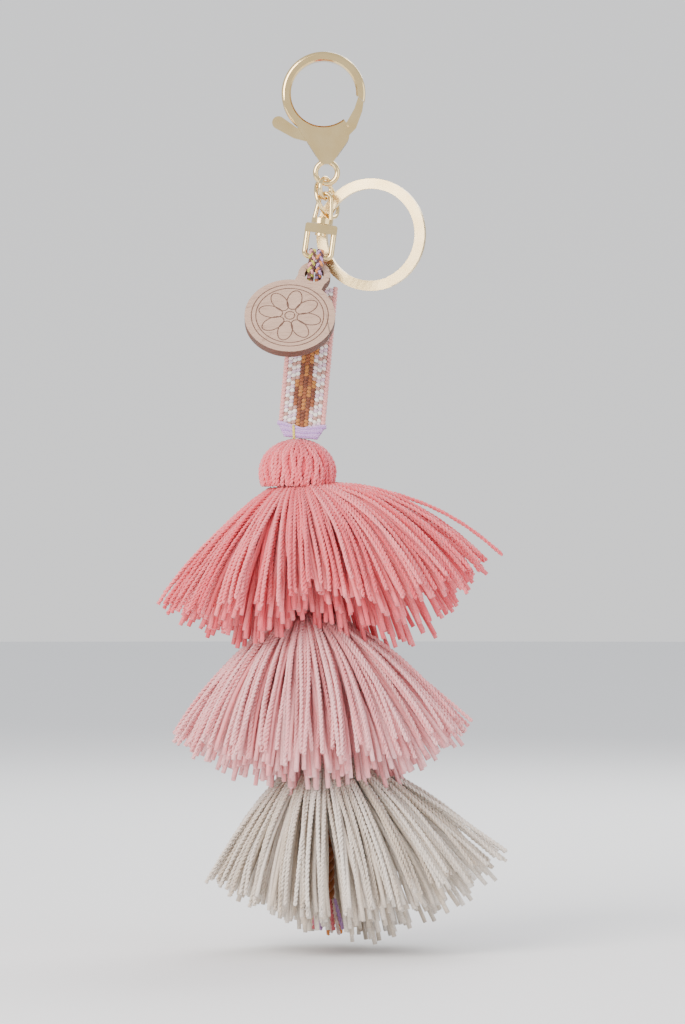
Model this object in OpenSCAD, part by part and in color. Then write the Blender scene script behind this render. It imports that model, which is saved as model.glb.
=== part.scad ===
// Wristlet keychain: a lobster-claw clasp, a swivel with a split key ring,
// a knotted strap with a wooden charm, and a tassel of three yarn tiers.
// Origin at the centre of the hook's opening, +Z up, +Y away from the front.

/* [Clasp] */
// Radius of the hook's round opening
hook_bore_r = 8.7; // [7.5:0.1:10]
// Radial width of the hook's rim
hook_rim_w = 2.5; // [2:0.1:3.2]
// Thickness of the clasp, front to back
clasp_t = 4.4; // [4:0.1:6]
// Thickness of the lever plate
lever_t = 2.0; // [1.6:0.1:2.4]
// Radius of the lever's rivet
lever_pin_r = 0.8; // [0.6:0.05:1]
// Mean radius of the clasp's eye
eye_r = 2.9; // [2.6:0.1:3.6]
// Wire radius of the clasp's eye
eye_wire_r = 0.72; // [0.5:0.02:0.9]

/* [Rings] */
// Mean radius of the jump ring under the clasp
link_r = 2.75; // [2.7:0.05:3.4]
// Wire radius of the jump ring under the clasp
link_wire_r = 0.55; // [0.4:0.05:0.7]
// Outer radius of the split key ring
ring_out_r = 15.0; // [13:0.5:18]
// Width of the key ring's flat strip
ring_strip_w = 2.7; // [2:0.1:3.2]
// Thickness of one turn of the key ring
ring_turn_t = 0.85; // [0.6:0.05:1]
// Mean radius of the jump ring that carries the key ring
key_link_r = 5.2; // [5.1:0.1:5.6]
// Wire radius of the jump ring that carries the key ring
key_link_wire_r = 0.55; // [0.4:0.05:0.7]

/* [Swivel] */
// Wire radius of the swivel's arch
arch_wire_r = 0.6; // [0.5:0.05:0.7]
// Height of the arch from its top ring's centre to the base plate
arch_h = 5.2; // [4.5:0.1:7]
// Radius of the arch's round base plate
arch_base_r = 2.9; // [2.6:0.1:3.2]
// Radius of the swivel's rivet
rivet_r = 0.9; // [0.7:0.05:1.1]
// Outer width of the stirrup
stirrup_w = 8.6; // [8:0.1:10]
// Height of the stirrup, from the top of its block to the bottom of its bar
stirrup_h = 9.6; // [9:0.1:12]
// Wire radius of the stirrup
stirrup_wire_r = 0.75; // [0.6:0.05:0.9]

/* [Strap] */
// Width of the strap
strap_w = 12.4; // [10:0.1:14]
// Thickness of the strap
strap_t = 2.2; // [1.6:0.1:2.6]
// Length of the flat part of the strap
strap_len = 41; // [30:0.5:60]
// Thickness of the braids that go over the stirrup's bar
braid_t = 1.1; // [0.9:0.05:1.3]

/* [Charm] */
// Diameter of the charm's disc
charm_d = 24; // [20:0.5:28]
// Thickness of the charm
charm_t = 2.4; // [2:0.1:3]
// Outer radius of the charm's tab
tab_r = 4.3; // [4:0.1:5]
// Radius of the hole in the charm's tab
tab_hole_r = 2.55; // [2.4:0.05:2.8]

/* [Tassel] */
// Radius of the upper tassel's head
head_r = 10.3; // [9.5:0.1:11.5]
// Height of the upper head's dome above its widest level
head_h = 8.7; // [8:0.1:11]
// Radius of the two hidden heads
inner_head_r = 8.0; // [7:0.1:8.5]
// Length of the strands in the fringes
strand_len = 43; // [38:0.5:46]
// Width of a strand at its end
strand_w = 2.6; // [1.6:0.1:2.8]
// Radius of the core cord between the tassels
core_r = 2.2; // [1.6:0.1:2.6]

/* [Hidden] */
$fn = 64;

// Clearances
seat_gap = 0.2;
side_gap = 0.1;
run_gap = 0.05;
head_gap = 0.3;

// Colours
gold = "#e9c37f";
wood = "#b89a86";
coral = "#ee6c72";
pink = "#f3b5b4";
cream = "#ded3c5";
rust = "#8a4a20";

// Clasp
hook_out_r = hook_bore_r + hook_rim_w;
rim_round = 0.8;
slot_t = lever_t + 2 * side_gap;
slot_floor_z = -16.8;
pivot = [0.9, 0, -(hook_bore_r + 3.5)];
eye_c = [0.8, 0, -(hook_bore_r + 12.3)];
gate_start = -3;
tip_reach = norm(hook_bore_r * [cos(gate_start), sin(gate_start)] - [pivot.x, pivot.z]);
gate_end = -52;
slot_low = -78;
slot_high = -30;

// Jump ring under the clasp, seated on the eye's lower rim
link_yaw = -30;
link_c = [0.5, 0, eye_c.z - eye_r + eye_wire_r + seat_gap + link_wire_r - link_r];

// Swivel frame, at the centre of the arch's top ring
swivel_lean = 8;
arch_yaw = -10;
arch_in_r = link_wire_r + 0.45;
arch_r = arch_in_r + arch_wire_r;
swivel_c = [link_c.x, 0, link_c.z - link_r + link_wire_r + seat_gap - arch_in_r];
arch_base_t = 1.4;
rivet_head_t = 0.6;
block_t = 2.4;
block_depth = 2.6;
block_top = -arch_h - arch_base_t - side_gap;
bar_z = block_top - stirrup_h + stirrup_wire_r;
stirrup_corner_r = 1.2;
leg_x = stirrup_w / 2 - stirrup_wire_r;

// Key ring
ring_yaw = -15.9;
ring_c = [12.7, 1.24, -37.5];
ring_in_r = ring_out_r - ring_strip_w;
ring_gap = 0.06;
ring_end_turn = -68;
ring_step = 55;
key_link_c = [0.9, 3.44, -27.88];
key_link_normal = [0.831, -0.467, 0.302];

// Strap frame, at the centre of the stirrup's bar
strap_lean = 5.3;
bar_c = swivel_c + bar_z * [sin(swivel_lean), 0, cos(swivel_lean)];
loop_in_r = stirrup_wire_r + 0.25;
loop_r = loop_in_r + braid_t / 2;
loop_x = -0.3;
loop_w = 4.4;
front_w = 3.4;
strap_y = 2.0;
strap_top = -7.6;
binding_h = 3.2;

// Charm, threaded on the front braids
charm_tilt = 35;
tab_turn = 25;
tab_dist = charm_d / 2 + 3.2;
tab_at = [loop_x, -1.6, -5.4];
tab_c = bar_c + [tab_at.x * cos(strap_lean) + tab_at.z * sin(strap_lean), tab_at.y,
                 tab_at.z * cos(strap_lean) - tab_at.x * sin(strap_lean)];

// Tassel tiers: place of the neck, lean to the right, flare to the sides and to the front
strap_end = strap_top - strap_len;
head_c = bar_c + [sin(strap_lean) * (strap_end - head_gap - head_h), strap_y,
                  cos(strap_lean) * (strap_end - head_gap - head_h)];
upper_drop = 3.0;
inner_drop = 5.2;
neck_t = 1.0;
upper_neck_r = 7.9;
inner_neck_r = 5.2;
binding_t = 0.7;
upper = [head_c.x + 0.8, head_c.y, head_c.z - upper_drop - neck_t];
middle = [-4.9, head_c.y, upper.z - 33.8];
lower = [0.4, head_c.y, middle.z - 37.4];
columns = 40;
rows = 3;
upper_lean = 5;
middle_lean = 2;
lower_lean = 6;

// ---------- shared shapes ----------

module lean(angle) {
  rotate([0, angle, 0]) children();
}

module torus(mean_r, wire_r) {
  rotate([90, 0, 0])
    rotate_extrude($fn = 72)
      translate([mean_r, 0])
        circle(r = wire_r, $fn = 24);
}

module rod(from, to, r) {
  d = to - from;
  translate(from)
    rotate([0, acos(d.z / norm(d)), atan2(d.y, d.x)])
      cylinder(h = norm(d), r = r, $fn = 32);
}

module disc_y(r, t) {
  rotate([90, 0, 0])
    cylinder(h = t, r = r, center = true);
}

module plate_y(t) {
  rotate([90, 0, 0])
    linear_extrude(height = t, center = true)
      children();
}

// Corner points of a rectangle with rounded outer corners, for a revolved rim
function rim_profile(r0, r1, t, round, steps = 4) = concat(
  [[r0, -t / 2 + round / 2], [r0 + round / 2, -t / 2]],
  [for (k = [0 : steps])
    [r1 - round + round * sin(90 * k / steps), -t / 2 + round - round * cos(90 * k / steps)]],
  [for (k = [0 : steps])
    [r1 - round + round * cos(90 * k / steps), t / 2 - round + round * sin(90 * k / steps)]],
  [[r0 + round / 2, t / 2], [r0, t / 2 - round / 2]]);

// ---------- clasp ----------

module clasp_cheeks_2d() {
  hull() {
    translate([-hook_out_r + 2.2, -2.6]) circle(r = 1.6, $fn = 32);
    translate([2.9, -hook_bore_r - 2.2]) circle(r = 4.0, $fn = 48);
    translate([eye_c.x, eye_c.z + eye_r + 1.5]) circle(r = 2.4, $fn = 32);
  }
}

// The rim's open end follows the arc on which the lever's tip swings
module hook_rim() {
  start = gate_start - 13;
  difference() {
    rotate([90, 0, 0])
      rotate([0, 0, start])
        rotate_extrude(angle = 360 + gate_end - start, $fn = 128)
          polygon(rim_profile(hook_bore_r, hook_out_r, clasp_t, rim_round));
    intersection() {
      translate([pivot.x, 0, pivot.z]) disc_y(tip_reach, clasp_t + 2);
      translate([hook_bore_r - 1.5, -clasp_t, -hook_bore_r / 2]) cube([6, 2 * clasp_t, hook_bore_r]);
    }
  }
}

module lever_slot() {
  plate_y(slot_t) {
    difference() {
      translate([-18, slot_floor_z]) square([30, 14]);
      circle(r = hook_bore_r + 0.7, $fn = 96);
    }
    polygon([for (a = [slot_low, slot_high]) (hook_bore_r - 2) * [cos(a), sin(a)],
             for (a = [slot_high : -8 : slot_low]) (hook_out_r + 1.5) * [cos(a), sin(a)]]);
  }
}

module clasp_body() {
  color(gold)
    difference() {
      union() {
        hook_rim();
        difference() {
          plate_y(clasp_t) clasp_cheeks_2d();
          disc_y(hook_bore_r + hook_rim_w / 2, clasp_t + 2);
        }
        translate(eye_c) torus(eye_r, eye_wire_r);
      }
      lever_slot();
      translate([pivot.x, 0, pivot.z]) disc_y(lever_pin_r, clasp_t + 2);
      translate(eye_c) disc_y(eye_r - eye_wire_r, clasp_t + 2);
    }
}

module lever_bar(from, r_from, to, r_to) {
  hull() {
    translate(from) circle(r = r_from, $fn = 32);
    translate(to) circle(r = r_to, $fn = 32);
  }
}

module clasp_lever() {
  hub = [pivot.x, pivot.z];
  gate_r = hook_bore_r + 1.35;
  tip = gate_r * [cos(-8.5), sin(-8.5)];
  waist = (gate_r + 0.2) * [cos(-25), sin(-25)];
  elbow = (gate_r + 1.15) * [cos(-48.5), sin(-48.5)];
  heel = hub + [3.3, 0.6];
  shoulder = hub + [-8.4, 1.7];
  thumb = hub + [-12.9, 4.5];
  color(gold)
    difference() {
      plate_y(lever_t) {
        intersection() {
          lever_bar(tip, 0.85, waist, 1.1);
          translate(hub) circle(r = tip_reach - side_gap, $fn = 96);
        }
        lever_bar(waist, 1.1, elbow, 1.45);
        lever_bar(elbow, 1.45, heel, 1.5);
        lever_bar(heel, 1.5, hub, 1.9);
        lever_bar(hub, 1.9, shoulder, 1.4);
        lever_bar(shoulder, 1.4, thumb, 1.7);
      }
      translate([pivot.x, 0, pivot.z]) disc_y(lever_pin_r + run_gap, clasp_t);
    }
}

module lever_pin() {
  color(gold)
    translate([pivot.x, 0, pivot.z]) {
      disc_y(lever_pin_r, clasp_t);
      for (side = [-1, 1])
        translate([0, side * (clasp_t / 2 + 0.1), 0]) disc_y(lever_pin_r + 0.35, 0.2);
    }
}

// A tube swept along points: one ring of vertices at each point, and two end caps
function sweep_rings(path, r, sides) = [
  for (i = [0 : len(path) - 1])
    let (a = path[max(i - 1, 0)],
         b = path[min(i + 1, len(path) - 1)],
         t = (b - a) / norm(b - a),
         u0 = abs(t.z) < 0.9 ? cross(t, [0, 0, 1]) : cross(t, [1, 0, 0]),
         u = u0 / norm(u0),
         v = cross(t, u))
      for (k = [0 : sides - 1])
        path[i] + r * (cos(360 * k / sides) * u + sin(360 * k / sides) * v)];

function sweep_faces(count, sides) = concat(
  [for (i = [0 : count - 2]) for (k = [0 : sides - 1])
    let (a = i * sides + k, b = i * sides + (k + 1) % sides)
      each [[a, b, b + sides], [a, b + sides, a + sides]]],
  [for (k = [1 : sides - 2]) [0, k + 1, k]],
  [for (k = [1 : sides - 2])
    let (n = (count - 1) * sides)
      [n, n + k, n + k + 1]]);

spring_top = pivot.z - 1.9 - side_gap;
spring_turns = 4;
spring_r = 0.65;
spring_wire_r = 0.15;
spring_path = [for (i = [0 : 8 * spring_turns])
  let (low = slot_floor_z + spring_wire_r + side_gap, high = spring_top - spring_wire_r - side_gap)
    [pivot.x - 2.2 + spring_r * cos(45 * i), spring_r * sin(45 * i),
     low + (high - low) * i / (8 * spring_turns)]];
echo(spring_gap_between_turns = norm(spring_path[8] - spring_path[0]) - 2 * spring_wire_r);

module lever_spring() {
  color("silver")
    polyhedron(points = sweep_rings(spring_path, spring_wire_r, 6),
               faces = sweep_faces(len(spring_path), 6));
}

// ---------- rings and swivel ----------

module clasp_link() {
  color(gold)
    translate(link_c)
      rotate([0, 0, link_yaw + 90])
        torus(link_r, link_wire_r);
}

module in_swivel() {
  translate(swivel_c) lean(swivel_lean) children();
}

module swivel_arch() {
  foot_x = arch_base_r - arch_wire_r;
  color(gold)
    in_swivel()
      rotate([0, 0, arch_yaw])
        difference() {
          union() {
            rotate([90, 0, 0])
              rotate_extrude(angle = 180, $fn = 48)
                translate([arch_r, 0])
                  circle(r = arch_wire_r, $fn = 24);
            for (side = [-1, 1]) {
              translate([side * arch_r, 0, 0]) sphere(r = arch_wire_r, $fn = 24);
              rod([side * arch_r, 0, 0], [side * foot_x, 0, -arch_h - arch_base_t / 2], arch_wire_r);
            }
            translate([0, 0, -arch_h - arch_base_t]) cylinder(h = arch_base_t, r = arch_base_r);
          }
          translate([0, 0, -arch_h - arch_base_t - 1]) cylinder(h = arch_base_t + 2, r = rivet_r);
        }
}

module swivel_rivet() {
  shaft_low = block_top - block_t - side_gap - rivet_head_t;
  color(gold)
    in_swivel() {
      translate([0, 0, shaft_low]) cylinder(h = -arch_h - shaft_low, r = rivet_r);
      translate([0, 0, -arch_h]) cylinder(h = rivet_head_t, r1 = rivet_r + 0.5, r2 = rivet_r);
      translate([0, 0, shaft_low]) cylinder(h = rivet_head_t, r = rivet_r + 0.6);
    }
}

module swivel_stirrup() {
  corner_z = bar_z + stirrup_corner_r;
  color(gold)
    in_swivel()
      difference() {
        union() {
          translate([-stirrup_w / 2, -block_depth / 2, block_top - block_t])
            cube([stirrup_w, block_depth, block_t]);
          for (side = [-1, 1]) {
            rod([side * leg_x, 0, corner_z], [side * leg_x, 0, block_top - block_t / 2],
                stirrup_wire_r);
            translate([side * (leg_x - stirrup_corner_r), 0, corner_z])
              rotate([90, 0, 0])
                rotate([0, 0, side > 0 ? -90 : 180])
                  rotate_extrude(angle = 90, $fn = 48)
                    translate([stirrup_corner_r, 0])
                      circle(r = stirrup_wire_r, $fn = 24);
          }
          rod([-leg_x + stirrup_corner_r, 0, bar_z], [leg_x - stirrup_corner_r, 0, bar_z],
              stirrup_wire_r);
        }
        translate([0, 0, block_top - block_t - 1])
          cylinder(h = block_t + 2, r = rivet_r + run_gap);
        for (side = [-1, 1])
          translate([side * (stirrup_w / 2 + 0.5), 0, block_top + 0.5])
            rotate([0, side * 45, 0])
              cube([2, block_depth + 1, 2], center = true);
      }
}

module key_link() {
  n = key_link_normal / norm(key_link_normal);
  color(gold)
    translate(key_link_c)
      rotate([0, acos(n.z), atan2(n.y, n.x)])
        rotate([90, 0, 0])
          torus(key_link_r, key_link_wire_r);
}

// One flat strip wound twice round, with a slanted step between its turns
ring_pitch = ring_turn_t + ring_gap;
ring_facet = 7;
ring_sections = (720 - ring_step) / ring_facet;

function ring_level(turn) =
  let (f = min(max((turn - 360 + ring_step) / ring_step, 0), 1))
    ring_pitch * (0.5 - f * f * (3 - 2 * f));

ring_points = [for (k = [0 : ring_sections])
  let (a = ring_end_turn + k * ring_facet,
       z = ring_level(k * ring_facet))
    each [for (c = [[ring_in_r, -1], [ring_out_r, -1], [ring_out_r, 1], [ring_in_r, 1]])
      [c[0] * cos(a), c[0] * sin(a), z + c[1] * ring_turn_t / 2]]];

module split_ring() {
  color(gold)
    translate(ring_c)
      rotate([90, 0, ring_yaw])
        polyhedron(points = ring_points, faces = sweep_faces(ring_sections + 1, 4));
}

// ---------- strap ----------

module in_strap() {
  translate(bar_c) lean(strap_lean) children();
}

// A braid or strap seen from its side: rounded slabs of one width joined along a line of [y, z, t]
module ribbon(stations, w, x = 0) {
  for (k = [0 : len(stations) - 2])
    hull()
      for (s = [stations[k], stations[k + 1]])
        translate([x - w / 2, s[0], s[1]])
          rotate([0, 90, 0])
            cylinder(h = w, r = s[2] / 2, $fn = 12);
}

module strap_loop() {
  join = strap_top + 1 + braid_t / 2 + 0.1;
  color("#b06a50")
    in_strap() {
      translate([loop_x, 0, 0])
        rotate([90, 0, 90])
          rotate_extrude(angle = 180, $fn = 48)
            translate([loop_in_r, -loop_w / 2])
              square([braid_t, loop_w]);
      ribbon([[-loop_r, 0.2, braid_t], [-loop_r - 1.3, -2.6, braid_t],
              [tab_at.y - 1.6, tab_at.z + 1.2, braid_t], [tab_at.y + 1.5, tab_at.z - 0.7, braid_t],
              [strap_y - 0.3, join, braid_t]], front_w, loop_x);
      ribbon([[loop_r, 0.2, braid_t], [loop_r + 1.5, -1.8, braid_t], [loop_r + 1.7, -4.4, braid_t],
              [strap_y + 0.3, join, braid_t]], loop_w, loop_x);
    }
}

module strap() {
  w2 = strap_w / 2;
  color(pink)
    in_strap()
      translate([0, strap_y, 0])
        plate_y(strap_t)
          polygon([[loop_x - loop_w / 2, strap_top + 1], [loop_x + loop_w / 2, strap_top + 1],
                   [w2 - 0.8, strap_top - 0.4], [w2, strap_top - 1.6],
                   [w2, strap_end + binding_h + 1.2], [0, strap_end + binding_h - 0.6],
                   [-w2, strap_end + binding_h + 1.2],
                   [-w2, strap_top - 1.6], [-w2 + 0.8, strap_top - 0.4]]);
}

module strap_binding() {
  w2 = strap_w / 2;
  color("#c9a8e0")
    in_strap()
      translate([0, strap_y, 0])
        plate_y(strap_t + 0.4)
          polygon([[-w2, strap_end + binding_h + 1.2], [0, strap_end + binding_h - 0.6],
                   [w2, strap_end + binding_h + 1.2], [w2 + 0.2, strap_end + binding_h],
                   [w2 - 2.2, strap_end + 0.1], [2.0, strap_end], [-2.0, strap_end],
                   [-w2 + 1.8, strap_end + 0.1], [-w2 - 0.1, strap_end + binding_h]]);
}

// ---------- charm ----------

module charm() {
  color(wood)
    translate(tab_c)
      rotate([-charm_tilt, 0, 0])
        rotate([0, tab_turn, 0])
          difference() {
            union() {
              translate([0, 0, -tab_dist]) disc_y(charm_d / 2, charm_t);
              disc_y(tab_r, charm_t);
              translate([-tab_r + 0.4, -charm_t / 2, -5.5])
                cube([2 * tab_r - 0.8, charm_t, 5.5]);
            }
            disc_y(tab_hole_r, charm_t + 2);
          }
}

// ---------- tassel ----------

// Outline of a fringe's backing from its top edge to its bottom edge, as [radius, z]
function backing(r) = [[r, 0], [r - 0.5, -1.6], [r - 2.1, -3.2], [r - 4.2, -4.3]];

// Angle of a strand from straight down, on row j at azimuth a
function flare(j, a, side, front) =
  let (f = side * pow(cos(a), 2) + front * pow(sin(a), 2))
    f * [1, 0.8, 0.6][j];

// Middle of a strand's cross-section, s mm along a curve that droops from f0 to f1
function strand_point(root, s, len, f0, f1) =
  let (f = f0 + (f1 - f0) * s / len / 2)
    root + s * [sin(f), -cos(f)];

// Change of angle from the middle of a strand to its ends
droop = 12;
// Length of the strands on each row, as a share of the outer row's
row_len = [1, 1.01, 1.02];
// Segments of the strands on each row
row_segments = [3, 2, 2];
row_first = [0, columns * row_segments[0], columns * (row_segments[0] + row_segments[1])];

function strand_sections(j, i, r, side, front, len) =
  let (a = 360 * (i + 0.5) / columns,
       b = backing(r),
       root = (b[j] + b[j + 1]) / 2,
       f = flare(j, a, side, front),
       f0 = min(f + droop, 88),
       f1 = f - droop,
       n = row_segments[j],
       own = len * (1 + 0.04 * sin(137 * i + 71 * j) + 0.07 * cos(a)) * row_len[j],
       root_w = 2 * 180 / columns * root.x * PI / 180)
    [for (k = [1 : n])
      let (s = own * k / n,
           p = strand_point(root, s, own, f0, f1),
           fk = f0 + (f1 - f0) * k / n,
           w = root_w + (strand_w - root_w) * k / n,
           h = min(1.4 + 0.2 * k, w),
           up = [cos(fk), sin(fk)] * h / 2,
           hi = p + up,
           lo = p - up,
           t = w / 2 * [-sin(a), cos(a)])
        each [[hi.x * cos(a) - t.x, hi.x * sin(a) - t.y, hi.y],
              [hi.x * cos(a) + t.x, hi.x * sin(a) + t.y, hi.y],
              [lo.x * cos(a) + t.x, lo.x * sin(a) + t.y, lo.y],
              [lo.x * cos(a) - t.x, lo.x * sin(a) - t.y, lo.y]]];

// Strands rise from the cells of the backing's band, so that backing and strands are one skin
function fringe_points(r, side, front, len) = concat(
  [for (b = backing(r)) for (i = [0 : columns - 1])
    let (a = 360 * i / columns)
      [b.x * cos(a), b.x * sin(a), b.y]],
  [[0, 0, backing(r)[0].y], [0, 0, backing(r)[rows].y]],
  [for (j = [0 : rows - 1]) for (i = [0 : columns - 1])
    each strand_sections(j, i, r, side, front, len)]);

strand_base = columns * (rows + 1) + 2;

function section_start(j, i, k) =
  strand_base + 4 * (row_first[j] + i * row_segments[j] + k - 1);

function section(j, i, k) = k == 0
  ? [j * columns + i, j * columns + (i + 1) % columns,
     (j + 1) * columns + (i + 1) % columns, (j + 1) * columns + i]
  : let (s = section_start(j, i, k)) [s, s + 1, s + 2, s + 3];

function strand_faces(j, i) = let (n = row_segments[j]) concat(
  [for (k = [0 : n - 1]) for (e = [0 : 3])
    let (p = section(j, i, k), q = section(j, i, k + 1), g = (e + 1) % 4)
      each [[p[e], q[e], q[g]], [p[e], q[g], p[g]]]],
  [let (q = section(j, i, n)) each [[q[0], q[3], q[2]], [q[0], q[2], q[1]]]]);

fringe_faces = concat(
  [for (i = [0 : columns - 1]) [columns * (rows + 1), i, (i + 1) % columns]],
  [for (i = [0 : columns - 1])
    let (b = columns * rows) [columns * (rows + 1) + 1, b + (i + 1) % columns, b + i]],
  [for (j = [0 : rows - 1]) for (i = [0 : columns - 1]) each strand_faces(j, i)]);

module fringe(place, tilt, r, side, front, len) {
  translate(place)
    lean(-tilt)
      polyhedron(points = fringe_points(r, side, front, len), faces = fringe_faces);
}

// A head of yarn: a dome h high above its widest level, drawn in to the neck below
module head(place, tilt, r, h, drop, neck_r) {
  translate(place)
    lean(-tilt)
      rotate_extrude($fn = 96)
        polygon(concat([[0, drop + neck_t + h], [0, run_gap], [neck_r, run_gap], [neck_r, neck_t]],
                       [for (a = [-asin(drop / r) : 6 : 84])
                         [r * cos(a), drop + neck_t + (a < 0 ? r : h) * sin(a)]]));
}

module neck(place, tilt, neck_r) {
  translate(place)
    lean(-tilt)
      rotate_extrude($fn = 64)
        translate([neck_r + run_gap, run_gap])
          square([binding_t, neck_t - 2 * run_gap]);
}

// Place at a height above or below a tier's neck, along its leaning axis
function on_axis(place, tilt, height) = place + height * [-sin(tilt), 0, cos(tilt)];

// Centre of the hidden head above a tier's neck
function head_centre(place, tilt) = on_axis(place, tilt, neck_t + inner_drop);

// Height at which a core leaves the strands' backing
core_drop = 5.5;

module core(from, tilt, to, to_tilt) {
  start = on_axis(from, tilt, -core_drop);
  aim = head_centre(to, to_tilt);
  run = aim - start;
  end = aim - run / norm(run) * (inner_head_r + head_gap);
  rod(start, end, core_r);
}

module head_upper() {
  color(coral) head(upper, upper_lean, head_r, head_h, upper_drop, upper_neck_r);
}

module neck_upper() {
  color(coral) neck(upper, upper_lean, upper_neck_r);
}

module fringe_upper() {
  color(coral) fringe(upper, upper_lean, upper_neck_r + binding_t, 55, 39, strand_len);
}

module core_upper() {
  color(rust) core(upper, upper_lean, middle, middle_lean);
}

module head_middle() {
  color(pink) head(middle, middle_lean, inner_head_r, inner_head_r, inner_drop, inner_neck_r);
}

module neck_middle() {
  color(pink) neck(middle, middle_lean, inner_neck_r);
}

module fringe_middle() {
  color(pink) fringe(middle, middle_lean, inner_neck_r + binding_t, 48, 36, strand_len - 1);
}

module core_middle() {
  color(rust) core(middle, middle_lean, lower, lower_lean);
}

module head_lower() {
  color(cream) head(lower, lower_lean, inner_head_r, inner_head_r, inner_drop, inner_neck_r);
}

module neck_lower() {
  color(cream) neck(lower, lower_lean, inner_neck_r);
}

module fringe_lower() {
  color(cream) fringe(lower, lower_lean, inner_neck_r + binding_t, 47, 35, strand_len + 0.5);
}

tail_top = on_axis(lower, lower_lean, -core_drop);
tail_len = 36;
thread_len = 5;

module core_tail() {
  color(rust)
    translate(tail_top)
      mirror([0, 0, 1])
        cylinder(h = tail_len, r1 = core_r - 0.3, r2 = core_r + 0.4);
}

module tail_threads() {
  color("#d98a6a")
    translate(tail_top - [0, 0, tail_len])
      for (k = [0 : 4])
        translate([1.5 * cos(72 * k), 1.5 * sin(72 * k), -thread_len + 0.6 * (k % 3)])
          cylinder(h = thread_len - 0.6 * (k % 3), r = 0.7, $fn = 24);
}

clasp_body();
clasp_lever();
lever_pin();
lever_spring();
clasp_link();
swivel_arch();
swivel_rivet();
swivel_stirrup();
key_link();
split_ring();
strap_loop();
strap();
strap_binding();
charm();
head_upper();
neck_upper();
fringe_upper();
core_upper();
head_middle();
neck_middle();
fringe_middle();
core_middle();
head_lower();
neck_lower();
fringe_lower();
core_tail();
tail_threads();
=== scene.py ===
import math

import bmesh
import bpy
import numpy as np
from mathutils import Matrix, Vector


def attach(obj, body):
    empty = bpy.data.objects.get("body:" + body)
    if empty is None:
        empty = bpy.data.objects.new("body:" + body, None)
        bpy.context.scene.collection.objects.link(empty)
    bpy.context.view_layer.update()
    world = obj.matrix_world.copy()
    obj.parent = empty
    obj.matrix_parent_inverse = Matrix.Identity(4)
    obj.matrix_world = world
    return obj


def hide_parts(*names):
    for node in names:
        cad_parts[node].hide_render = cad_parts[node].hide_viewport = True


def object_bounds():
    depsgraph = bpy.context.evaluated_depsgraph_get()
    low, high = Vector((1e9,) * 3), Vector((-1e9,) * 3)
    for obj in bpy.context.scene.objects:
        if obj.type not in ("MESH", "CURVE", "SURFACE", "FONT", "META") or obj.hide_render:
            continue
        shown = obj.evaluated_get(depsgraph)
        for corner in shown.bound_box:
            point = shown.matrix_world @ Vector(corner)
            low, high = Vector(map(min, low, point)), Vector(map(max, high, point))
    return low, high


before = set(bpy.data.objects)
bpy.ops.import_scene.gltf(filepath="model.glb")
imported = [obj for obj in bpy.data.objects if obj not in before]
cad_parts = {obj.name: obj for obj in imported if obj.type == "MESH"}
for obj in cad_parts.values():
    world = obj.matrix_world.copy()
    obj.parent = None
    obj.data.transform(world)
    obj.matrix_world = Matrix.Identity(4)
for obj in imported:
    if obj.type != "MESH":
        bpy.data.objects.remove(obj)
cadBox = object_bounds()
mm = 0.001
rng = np.random.RandomState(7)


# ---------- camera, light and floor ----------

view = {
    "centre": (5.07, -111.6),  # mm, x and z of the middle of the picture
    "frameHeight": 273.4,      # mm that the picture spans at the object
    "distance": 1250.0,        # mm
    "sensor": 36.0,
}


def makeCamera():
    data = bpy.data.cameras.new("camera")
    data.sensor_width = view["sensor"]
    data.lens = view["sensor"] * view["distance"] / view["frameHeight"]
    data.clip_start = 0.01
    camera = bpy.data.objects.new("camera", data)
    camera.location = Vector((view["centre"][0], -view["distance"], view["centre"][1])) * mm
    camera.rotation_euler = (math.radians(90), 0, 0)
    bpy.context.collection.objects.link(camera)
    bpy.context.scene.camera = camera


lights = {
    "key": {"at": (-520, -720, 330), "size": 620, "watts": 15.0, "colour": "#fff8f2"},
    "fill": {"at": (700, -500, -60), "size": 700, "watts": 3.0, "colour": "#f2f6ff"},
    "back": {"at": (250, 620, 420), "size": 600, "watts": 6.0, "colour": "#ffffff"},
}


def makeLights():
    aim = Vector((0, 0, -110)) * mm
    for name, what in lights.items():
        data = bpy.data.lights.new(name, "AREA")
        data.size = what["size"] * mm
        data.energy = what["watts"]
        data.color = linear(what["colour"])[:3]
        lamp = bpy.data.objects.new(name, data)
        lamp.location = Vector(what["at"]) * mm
        lamp.rotation_euler = (aim - lamp.location).to_track_quat("-Z", "Y").to_euler()
        bpy.context.collection.objects.link(lamp)


def linear(hexColour):
    channels = [int(hexColour[i:i + 2], 16) / 255 for i in (1, 3, 5)]
    return tuple(c / 12.92 if c <= 0.04045 else ((c + 0.055) / 1.055) ** 2.4 for c in channels) + (1.0,)


def addNode(tree, kind, values=None, links=None, **settings):
    node = tree.nodes.new(kind)
    for key, value in settings.items():
        setattr(node, key, value)
    for key, value in (values or {}).items():
        node.inputs[key].default_value = value
    for key, source in (links or {}).items():
        tree.links.new(source, node.inputs[key])
    return node


def makeWorld():
    world = bpy.data.worlds.new("studio")
    world.use_nodes = True
    tree = world.node_tree
    tree.nodes.clear()
    place = addNode(tree, "ShaderNodeTexCoord")
    split = addNode(tree, "ShaderNodeSeparateXYZ", links={0: place.outputs["Generated"]})
    ramp = addNode(tree, "ShaderNodeValToRGB", links={0: split.outputs["Z"]})
    ramp.color_ramp.elements[0].position = 0.0
    ramp.color_ramp.elements[0].color = (0.93, 0.93, 0.94, 1)
    ramp.color_ramp.elements[1].position = 0.6
    ramp.color_ramp.elements[1].color = (0.80, 0.82, 0.86, 1)
    light = addNode(tree, "ShaderNodeBackground", {"Strength": 1.15}, {"Color": ramp.outputs[0]})
    addNode(tree, "ShaderNodeOutputWorld", links={0: light.outputs[0]})
    bpy.context.scene.world = world


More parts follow.
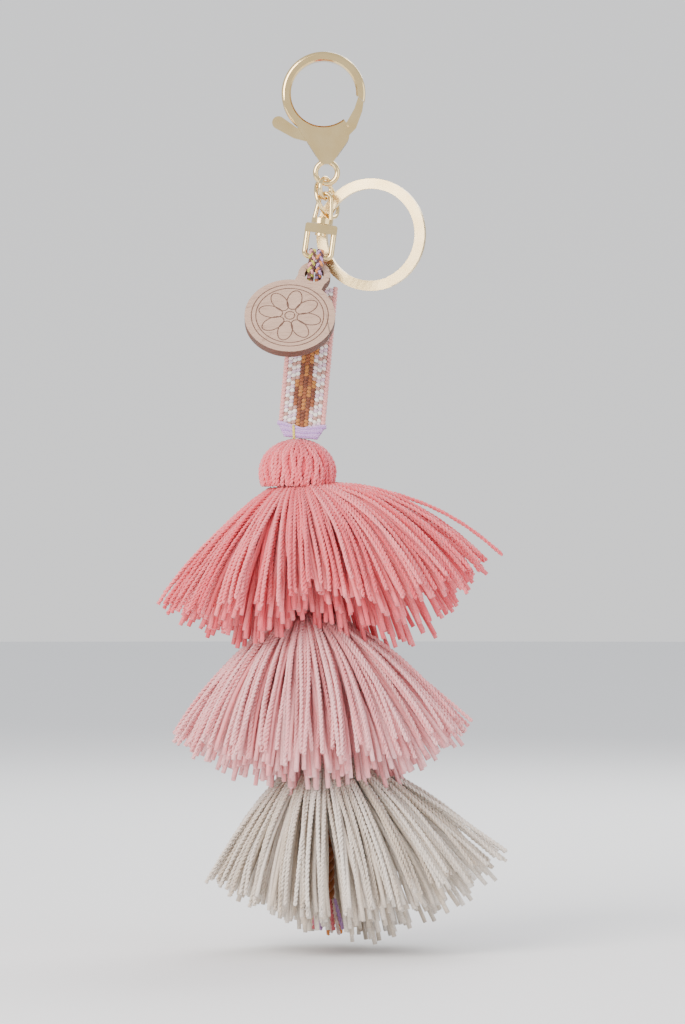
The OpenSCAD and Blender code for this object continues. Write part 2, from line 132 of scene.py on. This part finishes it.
def makeFloor():
    mesh = bpy.data.meshes.new("floor")
    bm = bmesh.new()
    bmesh.ops.create_circle(bm, cap_ends=True, radius=3.0, segments=64)
    bmesh.ops.translate(bm, verts=bm.verts, vec=(0, 0, cadBox[0][2] - 6 * mm))
    bm.to_mesh(mesh)
    bm.free()
    floor = bpy.data.objects.new("floor", mesh)
    bpy.context.collection.objects.link(floor)
    floor.data.materials.append(paintedBoard())


# ---------- materials ----------

def newMaterial(name):
    material = bpy.data.materials.new(name)
    material.use_nodes = True
    tree = material.node_tree
    tree.nodes.clear()
    shader = addNode(tree, "ShaderNodeBsdfPrincipled")
    addNode(tree, "ShaderNodeOutputMaterial", links={0: shader.outputs[0]})
    return material, tree, shader


def paintedBoard():
    # Matt white painted board: no gloss, so that it stays even
    material, tree, shader = newMaterial("paintedBoard")
    shader.inputs["Base Color"].default_value = linear("#f4f4f4")
    shader.inputs["Roughness"].default_value = 0.9
    return material


def grain(tree, scalePerMetre, detail=3.0):
    place = addNode(tree, "ShaderNodeTexCoord")
    return addNode(tree, "ShaderNodeTexNoise", {"Scale": scalePerMetre, "Detail": detail},
                   {"Vector": place.outputs["Object"]})


def mixColour(tree, share, low, high, blend="MIX"):
    """The colour between two sides, each a fixed colour or another node's socket."""
    node = addNode(tree, "ShaderNodeMix", data_type="RGBA", blend_type=blend)
    for number, value in ((0, share), (6, low), (7, high)):
        if isinstance(value, (float, tuple)):
            node.inputs[number].default_value = value
        else:
            tree.links.new(value, node.inputs[number])
    return node.outputs[2]


def yarn(name, dark, light, deep, tintX=0.0):
    # Two-ply acrylic yarn: soft and fuzzy, so rough with a sheen; darker over the first quarter of each path from its
    # start: painted shade at the roots, where the fringe strands go in at the neck
    material, tree, shader = newMaterial(name)
    shade = addNode(tree, "ShaderNodeAttribute", attribute_name="shade")
    along = addNode(tree, "ShaderNodeAttribute", attribute_name="along")
    mixed = mixColour(tree, shade.outputs["Fac"], linear(dark), linear(light))
    fibre = grain(tree, 1 / (0.35 * mm))
    fine = addNode(tree, "ShaderNodeMapRange", {"From Min": 0.3, "From Max": 0.7, "To Min": 0.0, "To Max": 0.45},
                   {"Value": fibre.outputs["Fac"]})
    tint = mixColour(tree, fine.outputs[0], mixed, linear(deep))
    # painted shade: the base colour runs towards deep over the first quarter of each path, darkest at its start
    rootShadeMask = addNode(tree, "ShaderNodeMapRange", {"From Min": 0.0, "From Max": 0.25, "To Min": 0.25, "To Max": 0.0},
                   {"Value": along.outputs["Fac"]})
    finalLayer = mixColour(tree, rootShadeMask.outputs[0], tint, linear(deep))
    tree.links.new(finalLayer, shader.inputs["Base Color"])
    bump = addNode(tree, "ShaderNodeBump", {"Strength": 0.5, "Distance": 0.1 * mm}, {"Height": fibre.outputs["Fac"]})
    tree.links.new(bump.outputs[0], shader.inputs["Normal"])
    shader.inputs["Roughness"].default_value = 0.72
    shader.inputs["Sheen Weight"].default_value = 0.35
    shader.inputs["Sheen Roughness"].default_value = 0.4
    return material


# ---------- threads ----------

def frameAlong(points):
    tangent = np.gradient(points, axis=0)
    tangent /= np.linalg.norm(tangent, axis=1)[:, None]
    guide = np.array((0.31, 0.93, 0.2))
    across = np.cross(tangent, guide)
    across /= np.linalg.norm(across, axis=1)[:, None]
    return tangent, across, np.cross(tangent, across)


def twist(points, offset, pitch, plies=2, phase=0.0):
    """The paths of the plies that wind round a path, both in mm."""
    steps = np.linalg.norm(np.diff(points, axis=0), axis=1)
    run = np.concatenate(([0.0], np.cumsum(steps)))
    tangent, across, up = frameAlong(points)
    paths = []
    for ply in range(plies):
        turn = (2 * math.pi * (run / pitch + ply / plies) + phase)[:, None]
        paths.append(points + offset * (np.cos(turn) * across + np.sin(turn) * up))
    return paths


def threads(name, paths, radius, material, body, shades=None, corners=3, taper=None):
    """One mesh of tubes along paths in mm; shades is one number, or one colour, for each path."""
    curve = bpy.data.curves.new(name, "CURVE")
    curve.dimensions = "3D"
    curve.bevel_depth = radius * mm
    curve.bevel_resolution = max(0, (corners - 4) // 2)
    for path in paths:
        spline = curve.splines.new("POLY")
        spline.points.add(len(path) - 1)
        spline.points.foreach_set("co", np.c_[np.asarray(path) * mm, np.ones(len(path))].ravel())
        if taper is not None:
            spline.points.foreach_set("radius", taper(np.linspace(0, 1, len(path))))
    holder = bpy.data.objects.new(name, curve)
    bpy.context.collection.objects.link(holder)
    mesh = bpy.data.meshes.new_from_object(holder.evaluated_get(bpy.context.evaluated_depsgraph_get()))
    mesh.name = name
    bpy.data.objects.remove(holder)
    bpy.data.curves.remove(curve)
    ring = len(mesh.vertices) // sum(len(path) for path in paths)
    shades = rng.rand(len(paths)) if shades is None else np.asarray(shades)
    spread = np.repeat(shades, [len(path) * ring for path in paths], axis=0)
    if shades.ndim == 1:
        mesh.attributes.new("shade", "FLOAT", "POINT").data.foreach_set("value", spread)
    else:
        mesh.attributes.new("tint", "FLOAT_COLOR", "POINT").data.foreach_set("color", spread.ravel())
    along = np.concatenate([np.repeat(np.linspace(0, 1, len(path)), ring) for path in paths])
    mesh.attributes.new("along", "FLOAT", "POINT").data.foreach_set("value", along)
    bm = bmesh.new()
    bm.from_mesh(mesh)
    bmesh.ops.holes_fill(bm, edges=[e for e in bm.edges if e.is_boundary], sides=ring)
    bmesh.ops.recalc_face_normals(bm, faces=bm.faces)
    return finish(bm, name, material, body, mesh)


def finish(bm, name, material, body, mesh=None):
    """Puts a bmesh in the scene as a piece on a body."""
    mesh = mesh or bpy.data.meshes.new(name)
    bm.to_mesh(mesh)
    bm.free()
    mesh.materials.clear()
    mesh.materials.append(material)
    mesh.shade_smooth()
    piece = bpy.data.objects.new(name, mesh)
    bpy.context.collection.objects.link(piece)
    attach(piece, body)
    return piece


# ---------- the tassel ----------

yarnSize = {
    "ply": 0.34,       # mm, radius of one ply
    "offset": 0.30,    # mm, from the yarn's middle to a ply's middle
    "pitch": 2.5,      # mm for one full turn of the twist
    "steps": 5,        # points for each turn
}

# Place of each neck and how its fringe hangs: angles in degrees from straight down, lengths in mm
tiers = {
    "upper": {"neck": (-6.185, 2.0, -104.93), "neckR": 8.6, "lean": -5, "left": (58, 36), "right": (84, 36),
              "front": (62, 22), "length": (41.5, 47.5, 44.0), "notch": 0.22, "count": 168, "gap": None},
    "middle": {"neck": (-4.9, 2.0, -138.73), "neckR": 5.9, "lean": -2, "left": (56, 34), "right": (62, 38),
               "front": (66, 16), "length": (43.5, 49.0, 47.0), "notch": 0.0, "count": 160, "gap": None},
    "lower": {"neck": (0.4, 2.0, -176.13), "neckR": 5.9, "lean": -6, "left": (54, 32), "right": (58, 42),
              "front": (58, 10), "length": (41.0, 50.0, 47.5), "notch": 0.0, "count": 150, "gap": 1.1},
}
layers = [  # share of the flare, share of the count, real plies or plain
    (1.00, 1.00, True),
    (0.88, 0.85, False),
    (0.72, 0.70, False),
    (0.52, 0.50, False),
    (0.28, 0.30, False),
]


def blendRound(azimuth, left, right, front):
    side = math.cos(azimuth)
    return (right if side > 0 else left) * side * side + front * (1 - side * side)


def strandPath(tier, azimuth, flare, step, jitter):
    start = blendRound(azimuth, tier["left"][0], tier["right"][0], tier["front"][0]) * flare + jitter[0]
    end = blendRound(azimuth, tier["left"][1], tier["right"][1], tier["front"][1]) * flare + jitter[1]
    length = blendRound(azimuth, *tier["length"]) * jitter[2]
    fromFront = (math.degrees(azimuth) + 90 + 180) % 360 - 180
    length *= 1 - tier["notch"] * math.exp(-(fromFront / 26) ** 2)
    count = max(6, int(length / step) + 1)
    run = np.linspace(0, length, count)
    share = run / length
    angle = np.radians(end + (start - end) * (1 - share) ** 1.3)
    stepRun = run[1] - run[0]
    out = np.concatenate(([0.0], np.cumsum(np.sin((angle[1:] + angle[:-1]) / 2) * stepRun)))
    down = np.concatenate(([0.0], np.cumsum(np.cos((angle[1:] + angle[:-1]) / 2) * stepRun)))
    radial = tier["neckR"] * (0.35 + 0.65 * flare) - 0.6 + out
    aside = jitter[3] * share ** 1.5 + jitter[4] * np.sin(share * jitter[5] + jitter[6]) * share
    x = radial * math.cos(azimuth) - aside * math.sin(azimuth)
    y = radial * math.sin(azimuth) + aside * math.cos(azimuth)
    z = -down - 1.2 * (1 - flare) + 0.25 * np.sin(share * jitter[5] * 1.3 + jitter[3])
    lean = math.radians(tier["lean"])
    points = np.c_[x * math.cos(lean) + z * math.sin(lean), y, -x * math.sin(lean) + z * math.cos(lean)]
    return points + np.array(tier["neck"])


def fringePaths(tier, flare, count, step):
    paths = []
    for i in range(count):
        azimuth = 2 * math.pi * (i + rng.uniform(-0.45, 0.45)) / count
        jitter = (rng.normal(0, 3.0), rng.normal(0, 3.5), 1 + rng.normal(0, 0.03), rng.normal(0, 1.6),
                  rng.uniform(0.2, 0.9), rng.uniform(3, 7), rng.uniform(0, 6.3))
        path = strandPath(tier, azimuth, flare, step, jitter)
        if tier["gap"] and math.sin(azimuth) < -0.2 and abs(path[-1][0] - 3.4) < tier["gap"] + 0.8:
            continue
        paths.append(path)
    return paths


def makeFringe(tierName, material):
    tier = tiers[tierName]
    body = "tassel_" + tierName
    fine = yarnSize["pitch"] / yarnSize["steps"]
    made = []
    for number, (flare, share, real) in enumerate(layers):
        paths = fringePaths(tier, flare, int(tier["count"] * share), fine if real else 3.2)
        if real:
            for side, sign in (("front", -1), ("back", 1)):
                chosen = [p for p in paths if (p[-1][1] - tier["neck"][1]) * sign > 0]
                plies = [p for path in chosen
                         for p in twist(path, yarnSize["offset"], yarnSize["pitch"], phase=rng.uniform(0, 6.3))]
                shades = np.repeat(rng.rand(len(chosen)), 2)
                made.append(threads(f"fringe_{tierName}_{side}", plies, yarnSize["ply"], material, body,
                                    shades))
        else:
            made.append(threads(f"fringe_{tierName}_{number}", paths, 0.62, material, body, corners=6))
    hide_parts("fringe_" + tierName)
    return made


def makeHead(tierName, material, centre, radius, height, drop):
    """Yarn laid over a dome from the top down to the neck, two plies each."""
    yarns = []
    count = 66
    for i in range(count):
        azimuth = 2 * math.pi * (i + rng.uniform(-0.2, 0.2)) / count
        top = (88, 72, 58)[i % 3] - rng.uniform(0, 6)
        bottom = -math.degrees(math.asin(drop / radius)) - 4
        steps = int(math.radians(top - bottom) * radius / (yarnSize["pitch"] / yarnSize["steps"]))
        angle = np.radians(np.linspace(top, bottom, steps))
        wave = 0.05 * np.sin(angle * 5 + rng.uniform(0, 6.3)) + rng.normal(0, 0.03) * np.cos(angle)
        reach = radius + rng.uniform(-0.25, 0.1)
        lift = np.where(angle < 0, radius, height)
        ring = reach * np.cos(angle)
        yarns.append(np.c_[centre[0] + ring * np.cos(azimuth + wave), centre[1] + ring * np.sin(azimuth + wave),
                           centre[2] + lift * np.sin(angle)])
    plies = [p for path in yarns for p in twist(path, yarnSize["offset"], yarnSize["pitch"], phase=rng.uniform(0, 6.3))]
    shades = np.repeat(rng.rand(len(yarns)), 2)
    head = threads("head_yarn_" + tierName, plies, yarnSize["ply"] + 0.06, material, "tassel_" + tierName, shades)
    return head


def makePad(name, material, body, centre, radius, up, down):
    """The smooth inner form that the yarn lies on."""
    bm = bmesh.new()
    bmesh.ops.create_uvsphere(bm, u_segments=32, v_segments=20, radius=1.0)
    for v in bm.verts:
        v.co = Vector((v.co.x * radius, v.co.y * radius, v.co.z * (up if v.co.z > 0 else down)))
    bmesh.ops.translate(bm, verts=bm.verts, vec=centre)
    bmesh.ops.scale(bm, verts=bm.verts, vec=(mm, mm, mm))
    return finish(bm, name, material, body)


def dyed(name, deep, sheen=0.3):
    # Waxed cotton in the colours of its own threads: soft gloss, darker in the fine gaps
    material, tree, shader = newMaterial(name)
    tint = addNode(tree, "ShaderNodeAttribute", attribute_name="tint")
    fibre = grain(tree, 1 / (0.25 * mm))
    fine = addNode(tree, "ShaderNodeMapRange", {"From Min": 0.35, "From Max": 0.75, "To Min": 0.0, "To Max": 0.4},
                   {"Value": fibre.outputs["Fac"]})
    tree.links.new(mixColour(tree, fine.outputs[0], tint.outputs["Color"], linear(deep)), shader.inputs["Base Color"])
    bump = addNode(tree, "ShaderNodeBump", {"Strength": 0.4, "Distance": 0.08 * mm}, {"Height": fibre.outputs["Fac"]})
    tree.links.new(bump.outputs[0], shader.inputs["Normal"])
    shader.inputs["Roughness"].default_value = 0.6
    shader.inputs["Sheen Weight"].default_value = sheen
    return material


def plated(name, bright, dull, rough):
    # Thin gold plate: clear reflections, with faint rubbed patches that are a little duller
    material, tree, shader = newMaterial(name)
    cloud = grain(tree, 1 / (5 * mm), 4.0)
    tree.links.new(mixColour(tree, cloud.outputs["Fac"], linear(bright), linear(dull)), shader.inputs["Base Color"])
    finalLayer = addNode(tree, "ShaderNodeMapRange", {"To Min": rough * 0.7, "To Max": rough * 1.5},
                   {"Value": cloud.outputs["Fac"]})
    tree.links.new(finalLayer.outputs[0], shader.inputs["Roughness"])
    scratch = grain(tree, 1 / (0.4 * mm))
    bump = addNode(tree, "ShaderNodeBump", {"Strength": 0.06, "Distance": 0.05 * mm},
                   {"Height": scratch.outputs["Fac"]})
    tree.links.new(bump.outputs[0], shader.inputs["Normal"])
    shader.inputs["Metallic"].default_value = 1.0
    return material


def wood(name, light, dark, pore):
    # Laser-cut plywood: long fine grain along the disc's x, matt
    material, tree, shader = newMaterial(name)
    place = addNode(tree, "ShaderNodeTexCoord")
    stretch = addNode(tree, "ShaderNodeMapping", {"Scale": (0.12, 1, 1)}, {"Vector": place.outputs["Object"]})
    fibre = addNode(tree, "ShaderNodeTexNoise", {"Scale": 1 / (0.35 * mm), "Detail": 4.0},
                    {"Vector": stretch.outputs[0]})
    base = mixColour(tree, fibre.outputs["Fac"], linear(light), linear(dark))
    holes = addNode(tree, "ShaderNodeMapRange", {"From Min": 0.6, "From Max": 0.75, "To Max": 0.6},
                    {"Value": fibre.outputs["Fac"]})
    tree.links.new(mixColour(tree, holes.outputs[0], base, linear(pore)), shader.inputs["Base Color"])
    bump = addNode(tree, "ShaderNodeBump", {"Strength": 0.3, "Distance": 0.06 * mm}, {"Height": fibre.outputs["Fac"]})
    tree.links.new(bump.outputs[0], shader.inputs["Normal"])
    shader.inputs["Roughness"].default_value = 0.62
    return material


# ---------- strap, braids and binding ----------

strapSize = {
    "bar": (-1.664, 0.0, -43.579),  # mm, middle of the bar that the loop hangs on
    "lean": 5.3,                    # degrees
    "y": 2.0,                       # mm, depth of the strap's middle behind the bar
    "top": -7.6,                    # mm below the bar, in the strap's own frame
    "end": -48.6,
    "width": 12.4,
    "thick": 2.2,
    "columns": 11,
    "rows": 38,
}


def onStrap(points):
    p = np.asarray(points, float)
    a = math.radians(strapSize["lean"])
    turned = np.c_[p[:, 0] * math.cos(a) + p[:, 2] * math.sin(a), p[:, 1],
                   -p[:, 0] * math.sin(a) + p[:, 2] * math.cos(a)]
    return turned + np.array(strapSize["bar"])


def knotColour(column, row):
    side = abs(column - 5)
    diamond = 1.2 + 1.5 * abs((row / 7) % 2 - 1)
    if side == 5:
        return linear("#e8a29c")
    if side < diamond:
        return linear(("#8d4a1c", "#b0702a", "#6e3414")[(row // 3 + side) % 3])
    return linear(("#f1e6de", "#d9bccb", "#f4efe8", "#b98a7c")[(row + column) % 4])


def makeStrap(material, gapShadeMaterial):
    stepX = strapSize["width"] / strapSize["columns"]
    stepZ = (strapSize["top"] - strapSize["end"] - 3) / strapSize["rows"]
    bead = bmesh.new()
    bmesh.ops.create_uvsphere(bead, u_segments=8, v_segments=6, radius=1.0)
    shape = np.array([v.co for v in bead.verts])
    faces = [[v.index for v in f.verts] for f in bead.faces]
    bead.free()
    points, polygons, tints = [], [], []
    for face in (-1, 1):
        for row in range(strapSize["rows"]):
            for column in range(strapSize["columns"]):
                slant = math.radians(32 if column <= 5 else -32) * -face
                x, z = shape[:, 0] * stepX * 0.66, shape[:, 2] * stepZ * 0.56
                knot = np.c_[x * math.cos(slant) - z * math.sin(slant), shape[:, 1] * 0.5,
                             x * math.sin(slant) + z * math.cos(slant)]
                place = ((column - 5) * stepX, strapSize["y"] + face * (strapSize["thick"] / 2 - 0.3),
                         strapSize["top"] - 0.3 - (row + 0.5 * (column % 2)) * stepZ)
                start = sum(len(p) for p in points)
                points.append(onStrap(knot + np.array(place)))
                polygons += [[start + i for i in f] for f in faces]
                tints.append(np.tile(knotColour(column, row), (len(shape), 1)))
    mesh = bpy.data.meshes.new("strap_knots")
    mesh.from_pydata(np.concatenate(points) * mm, [], polygons)
    mesh.attributes.new("tint", "FLOAT_COLOR", "POINT").data.foreach_set("color", np.concatenate(tints).ravel())
    bm = bmesh.new()
    bm.from_mesh(mesh)
    knots = finish(bm, "strap_knots", material, "strap", mesh)
    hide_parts("strap")
    # the inner box between the two faces of knots stands for the strap's own cord; its dark rust colour is painted
    # shade that shows through the gaps between the knots
    bm = bmesh.new()
    bmesh.ops.create_cube(bm, size=1.0)
    for v in bm.verts:
        local = (v.co.x * 11.6, strapSize["y"] + v.co.y * 1.5,
                 (strapSize["top"] + strapSize["end"] + 2) / 2 + v.co.z * 38.4)
        v.co = Vector(onStrap([local])[0]) * mm
    bmesh.ops.bevel(bm, geom=bm.edges[:], offset=0.5 * mm, segments=3, affect="EDGES")
    bmesh.ops.recalc_face_normals(bm, faces=bm.faces)
    finish(bm, "strap_gap_shade", gapShadeMaterial, "strap")


def smoothPath(points, count):
    """An even path through points, rounded by averaging."""
    p = np.asarray(points, float)
    run = np.concatenate(([0], np.cumsum(np.linalg.norm(np.diff(p, axis=0), axis=1))))
    even = np.linspace(0, run[-1], count)
    path = np.c_[[np.interp(even, run, p[:, k]) for k in range(3)]].T
    for _ in range(6):
        path[1:-1] = (path[:-2] + 2 * path[1:-1] + path[2:]) / 4
    return path


def makeBraids(material):
    arc = [(0, -1.55 * math.cos(a), 0.2 + 1.5 * math.sin(a)) for a in np.linspace(0, math.pi, 9)]
    side = [(0, 1.7, -5.95), (0, -0.1, -6.1), (0, -3.2, -4.2), (0, -2.85, -2.6)] + arc + \
           [(0, 3.05, -1.8), (0, 3.25, -4.4), (0, 2.3, -5.95)]
    path = smoothPath(side, 260)
    colours = (("#e79aa0", "#c9c23e", "#5a2d1e"), ("#b98fc4", "#d9853a", "#4a2030"))
    paths, tints = [], []
    tangent = np.gradient(path, axis=0)
    tangent /= np.linalg.norm(tangent, axis=1)[:, None]
    normal = np.cross(tangent, (1.0, 0, 0))
    for braid, at in enumerate((-1.35, 0.75)):
        for strand in range(3):
            t = np.linspace(0, 2 * math.pi * 5.5, len(path)) + strand * 2 * math.pi / 3
            points = path + np.c_[at + 0.58 * np.sin(t), 0 * t, 0 * t] + 0.3 * np.sin(2 * t)[:, None] * normal
            for ply in twist(onStrap(points), 0.16, 1.6, phase=strand):
                paths.append(ply)
                tints.append(linear(colours[braid][strand]))
    braids = threads("loop_braids", paths, 0.26, material, "strap", tints, corners=6)
    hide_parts("strap_loop")


def makeBinding(material):
    paths, tints = [], []
    for turn in range(8):
        t = np.linspace(0, 2 * math.pi, 61)
        wide = 6.3 - 0.28 * (7 - turn) * (turn < 6)
        x = wide * np.sign(np.cos(t)) * np.abs(np.cos(t)) ** 0.5
        y = strapSize["y"] + 1.35 * np.sign(np.sin(t)) * np.abs(np.sin(t)) ** 0.35
        z = strapSize["end"] + 0.5 + 0.5 * turn - 1.5 * (1 - np.abs(x) / wide) * turn / 8
        for ply in twist(onStrap(np.c_[x, y, z]), 0.16, 1.5, phase=turn):
            paths.append(ply)
            tints.append(linear("#c9a3d8" if turn % 3 else "#b48ac8"))
    yellow = np.linspace(0, 1, 12)
    for ply in twist(onStrap(np.c_[-2.2 + 0.5 * yellow, 0.35 + 0 * yellow, -45.2 - 3.6 * yellow]), 0.15, 1.4):
        paths.append(ply)
        tints.append(linear("#d8c93a"))
    binding = threads("strap_binding_cord", paths, 0.27, material, "strap", tints, corners=6)
    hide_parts("strap_binding")


# ---------- the wooden charm ----------

charmSize = {
    "tab": (-2.462, -1.6, -48.928),  # mm, middle of the tab's hole
    "tilt": 35, "turn": 25,          # degrees
    "reach": 15.2, "radius": 12.0, "thick": 2.4,
    "line": 0.2,                     # mm, radius of a burnt line
}


def onCharm(points):
    turn = Matrix.Rotation(math.radians(-charmSize["tilt"]), 3, "X") @ \
        Matrix.Rotation(math.radians(charmSize["turn"]), 3, "Y")
    p = np.asarray(points, float) + (0, 0, -charmSize["reach"])
    return p @ np.array(turn).T + np.array(charmSize["tab"])


def makeCharm(face, burnt):
    bm = bmesh.new()
    bm.from_mesh(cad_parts["charm"].data)
    bmesh.ops.remove_doubles(bm, verts=bm.verts, dist=0.005 * mm)
    bmesh.ops.recalc_face_normals(bm, faces=bm.faces)
    front = Vector(onCharm([(0, -1, 0)])[0] - onCharm([(0, 0, 0)])[0]).normalized()
    for f in bm.faces:
        f.material_index = 0 if abs(f.normal.dot(front)) > 0.9 else 1
    mesh = bpy.data.meshes.new("charm_disc")
    bm.to_mesh(mesh)
    bm.free()
    mesh.materials.append(face)
    mesh.materials.append(burnt)
    disc = bpy.data.objects.new("charm_disc", mesh)
    bpy.context.collection.objects.link(disc)
    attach(disc, "charm")
    depth = -charmSize["thick"] / 2 + charmSize["line"] * 0.6
    turn = np.linspace(0, 2 * math.pi, 73)
    paths = [onCharm(np.c_[r * np.cos(turn), depth + 0 * turn, r * np.sin(turn)]) for r in (9.0, 10.2, 1.3)]
    along = np.linspace(0, math.pi, 15)
    for petal in range(8):
        a = petal * math.pi / 4 + 0.2
        outline = np.r_[np.c_[2.0 + 3.2 * (1 - np.cos(along)), 1.9 * np.sin(along)],
                        np.c_[2.0 + 3.2 * (1 + np.cos(along[1:])), -1.9 * np.sin(along[1:])]]
        x = outline[:, 0] * math.cos(a) - outline[:, 1] * math.sin(a)
        z = outline[:, 0] * math.sin(a) + outline[:, 1] * math.cos(a)
        paths.append(onCharm(np.c_[x, depth + 0 * x, z]))
    threads("charm_lines", paths, charmSize["line"], burnt, "charm", corners=6)
    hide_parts("charm")


# ---------- cores and tail ----------

def makeCore(name, node, start, end, material, body):
    path = smoothPath([start, end], 60)
    plies = twist(path, 1.05, 8.0, plies=3)
    core = threads(name, plies, 1.05, material, body, corners=8)
    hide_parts(node)


def makeTail(material):
    colours = ("#e58aa0", "#c39ad6", "#e08a3c", "#e2c93f", "#d86a74", "#f0d9cf")
    paths, tints = [], []
    for i in range(14):
        a, r = i * 2.4, 0.5 + 1.5 * math.sqrt(i / 14)
        top = np.array((0.95 + r * math.cos(a), 2 + r * math.sin(a), -215.0))
        run = np.linspace(0, 1, 16)[:, None]
        line = top + run * np.array((2.4 * math.cos(a), 2.4 * math.sin(a), -6.6 - 1.4 * (i % 3)))
        for ply in twist(line, 0.3, 2.4, phase=i):
            paths.append(ply)
            tints.append(linear(colours[i % 6]))
    tail = threads("tail_coloured_threads", paths, 0.34, material, "tassel_lower", tints, corners=6)
    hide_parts("tail_threads")


makeCamera()
makeLights()
makeWorld()
makeFloor()
print("stage set")

coral = yarn("coralAcrylicYarn", "#e85a66", "#ff8f94", "#b8323e")
pink = yarn("pinkAcrylicYarn", "#ee9c9f", "#fcc9ca", "#c96f72")
cream = yarn("creamAcrylicYarn", "#cfc0ae", "#f4ece2", "#93816e")
rust = yarn("rustCottonCord", "#7a3c14", "#a65c22", "#3c1a08")

for tierName, material, slot in (("upper", coral, "coral_yarn"), ("middle", pink, "pink_yarn"),
                                 ("lower", cream, "cream_yarn")):
    makeFringe(tierName, material)
    print("fringe", tierName)

head = makeHead("upper", coral, (-6.985, 2.0, -100.93), 10.0, 8.4, 3.0)
pad = makePad("head_pad_upper", coral, "tassel_upper", (-6.985, 2.0, -100.93), 9.7, 8.1, 4.0)
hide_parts("head_upper", "neck_upper")
for name, centre, material, slot in (("middle", (-4.9, 2, -132.53), pink, "pink_yarn"),
                                     ("lower", (0.4, 2, -169.93), cream, "cream_yarn")):
    pad = makePad("head_pad_" + name, material, "tassel_" + name, centre, 7.9, 7.9, 7.0)
    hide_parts("head_" + name, "neck_" + name)
print("heads made")

strapCord = dyed("dyedStrapCotton", "#4a2a22")
makeStrap(strapCord, rust)
makeBraids(dyed("dyedBraidCotton", "#3a1c14"))
makeBinding(dyed("dyedBindingCotton", "#6b4a86"))
print("strap made")

makeCharm(wood("limeWood", "#c3a591", "#a98672", "#6f4f40"), wood("burntWood", "#6d4a3a", "#4c3026", "#2c1a14"))
print("charm made")

makeCore("core_cord_upper", "core_upper", (-5.7, 2.0, -110.4), (-5.2, 2.0, -124.4), rust, "tassel_upper")
makeCore("core_cord_middle", "core_middle", (-4.7, 2.0, -144.2), (-1.5, 2.0, -162.0), rust, "tassel_middle")
makeCore("core_cord_tail", "core_tail", (0.97, 2.0, -181.6), (0.97, 2.0, -217.4), rust, "tassel_lower")
makeTail(dyed("dyedTailCotton", "#8a4a3a"))
print("cores made")

finishes = {
    "bright": plated("brightGoldPlate", "#f3dca6", "#dcb878", 0.12),
    "satin": plated("satinGoldPlate", "#f0dcae", "#d9bb80", 0.26),
    "steel": plated("springSteel", "#c9ccd0", "#a9adb2", 0.25),
}
for node, finishName in {"clasp_body": "bright", "clasp_lever": "bright", "lever_pin": "bright",
                         "clasp_link": "bright", "swivel_arch": "bright", "swivel_rivet": "bright",
                         "swivel_stirrup": "bright", "key_link": "bright", "split_ring": "satin",
                         "lever_spring": "steel"}.items():
    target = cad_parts[node]
    if not target.material_slots:
        target.data.materials.append(None)
    for place in target.material_slots:
        place.material = finishes[finishName]
print("metal made")
